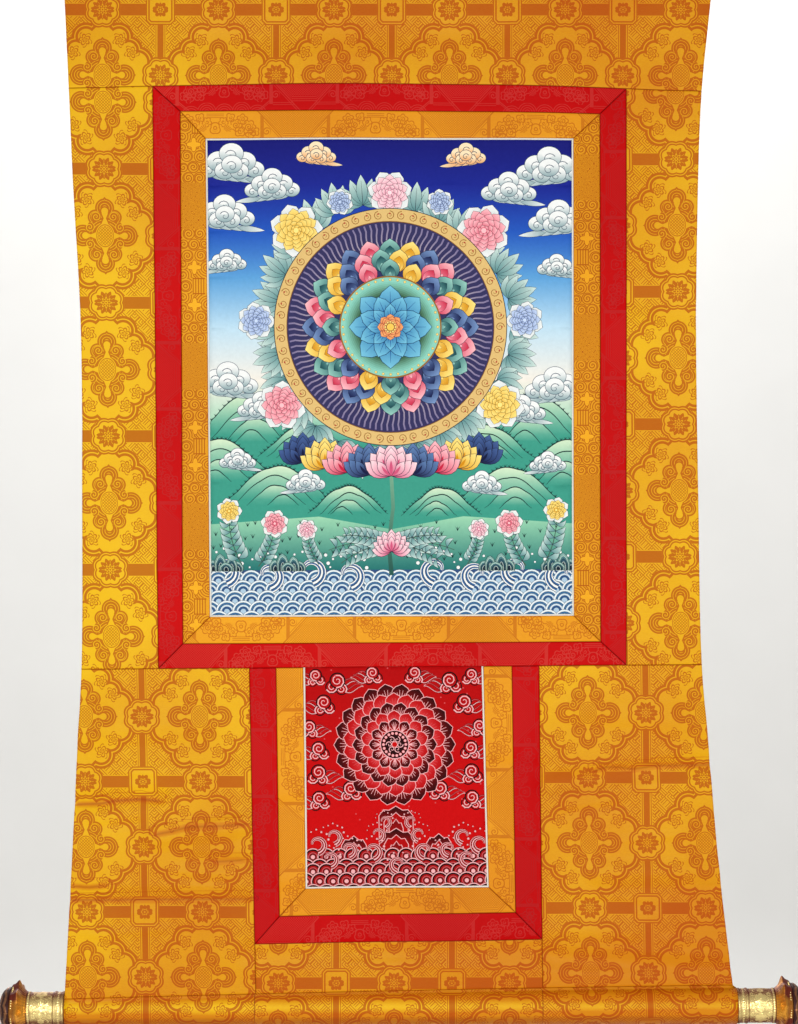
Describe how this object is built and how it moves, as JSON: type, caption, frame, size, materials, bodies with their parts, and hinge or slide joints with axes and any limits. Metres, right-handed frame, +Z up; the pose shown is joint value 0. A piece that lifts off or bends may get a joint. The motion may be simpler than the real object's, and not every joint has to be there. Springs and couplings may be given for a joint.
{
  "type": "thangka scroll painting",
  "caption": "Hanging cloth scroll: a painted panel in nested borders, brocade mounts, a framed door panel below, and a roller with ornamental knobs",
  "frame": {"origin": "the middle of the cloth's top edge, where it hangs", "axes": "+X across the cloth to the right as seen from the front, +Y into the wall behind it (the painted front faces -Y), +Z up"},
  "size_m": [0.8786, 0.08, 1.1363],
  "materials": {
    "brocade_yellow": "satin brocade with a woven medallion pattern",
    "border_red": "satin brocade with a lattice and flower pattern",
    "border_gold": "satin brocade with a lattice and flower pattern",
    "piping_white": "matt cotton cord",
    "canvas": "matt painted cotton",
    "door_silk": "satin silk with embroidery",
    "rod_wood": "plain turned wood",
    "knob_gold": "gilt, embossed and engraved, darkened in the hollows"
  },
  "bodies": {
    "root": {"header_panel": "brocade_yellow", "side_panel_left": "brocade_yellow", "side_panel_right": "brocade_yellow", "skirt_panel_left": "brocade_yellow", "skirt_panel_right": "brocade_yellow", "skirt_panel_middle": "brocade_yellow", "roller_sleeve": "brocade_yellow", "red_border_top": "border_red", "red_border_bottom": "border_red", "red_border_left": "border_red", "red_border_right": "border_red", "door_red_left": "border_red", "door_red_right": "border_red", "door_red_bottom": "border_red", "gold_border_top": "border_gold", "gold_border_bottom": "border_gold", "gold_border_left": "border_gold", "gold_border_right": "border_gold", "door_gold_left": "border_gold", "door_gold_right": "border_gold", "door_gold_bottom": "border_gold", "picture_piping_top": "piping_white", "picture_piping_bottom": "piping_white", "picture_piping_left": "piping_white", "picture_piping_right": "piping_white", "door_piping_left": "piping_white", "door_piping_right": "piping_white", "door_piping_bottom": "piping_white", "painting_canvas": "canvas", "door_panel": "door_silk", "roller_rod": "rod_wood", "knob_ferrule_left": "knob_gold", "knob_crown_left": "knob_gold", "knob_cap_left": "knob_gold", "knob_ferrule_right": "knob_gold", "knob_crown_right": "knob_gold", "knob_cap_right": "knob_gold"}
  },
  "joints": []
}
